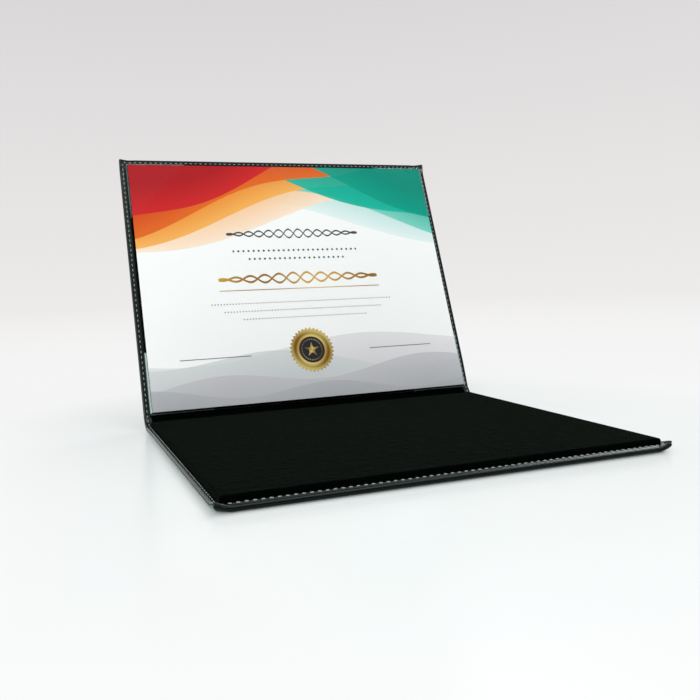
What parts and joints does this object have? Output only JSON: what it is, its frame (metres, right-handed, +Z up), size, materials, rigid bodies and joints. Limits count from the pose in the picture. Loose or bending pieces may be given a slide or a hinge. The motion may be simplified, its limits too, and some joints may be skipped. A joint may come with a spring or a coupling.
{
  "type": "certificate holder",
  "caption": "Padded leatherette certificate holder that opens like a book on a soft folding spine, with a lined inside and clear corners holding a landscape sheet.",
  "frame": {"origin": "middle of the flat face under the lower half, on the table", "axes": "+X to the right along the spine, -Y towards the front edge, +Z up"},
  "size_m": [0.2922, 0.3157, 0.2216],
  "materials": {
    "leatherette": "fine grained black leatherette with a soft sheen",
    "velvet_lining": "matte black short pile",
    "foam": "open cell foam sheet",
    "greyboard": "plain greyboard",
    "thread": "light grey sewing thread",
    "certificate_paper": "satin printed card",
    "clear_film": "clear glossy film"
  },
  "bodies": {
    "lower_half": {"lower_outer_cover": "leatherette", "lower_foam_pad": "foam", "lower_board": "greyboard", "lower_left_hem": "leatherette", "lower_right_hem": "leatherette", "lower_inner_thread": "thread", "lower_outer_thread": "thread", "lower_inner_board": "greyboard", "lower_lining": "velvet_lining", "lower_front_hem": "leatherette"},
    "spine": {"spine_cover": "leatherette", "spine_lining": "velvet_lining", "spine_left_hem": "leatherette", "spine_right_hem": "leatherette"},
    "upper_half": {"upper_outer_cover": "leatherette", "upper_foam_pad": "foam", "upper_board": "greyboard", "upper_left_hem": "leatherette", "upper_right_hem": "leatherette", "upper_inner_thread": "thread", "upper_outer_thread": "thread", "upper_inner_board": "greyboard", "upper_lining": "velvet_lining", "upper_top_hem": "leatherette", "certificate": "certificate_paper", "clear_corner_top_left": "clear_film", "clear_corner_top_right": "clear_film", "clear_corner_bottom_left": "clear_film", "clear_corner_bottom_right": "clear_film"}
  },
  "joints": [
    {"name": "spine_fold", "type": "hinge", "parent": "lower_half", "child": "spine", "pos_m": [0, 0.11248, 0.0029], "axis": [-1, 0, 0], "range_deg": [-55.35, 34.65]},
    {"name": "cover_fold", "type": "hinge", "parent": "spine", "child": "upper_half", "pos_m": [0, 0.12251, 0.00984], "axis": [-1, 0, 0], "range_deg": [-55.35, 34.65]}
  ]
}
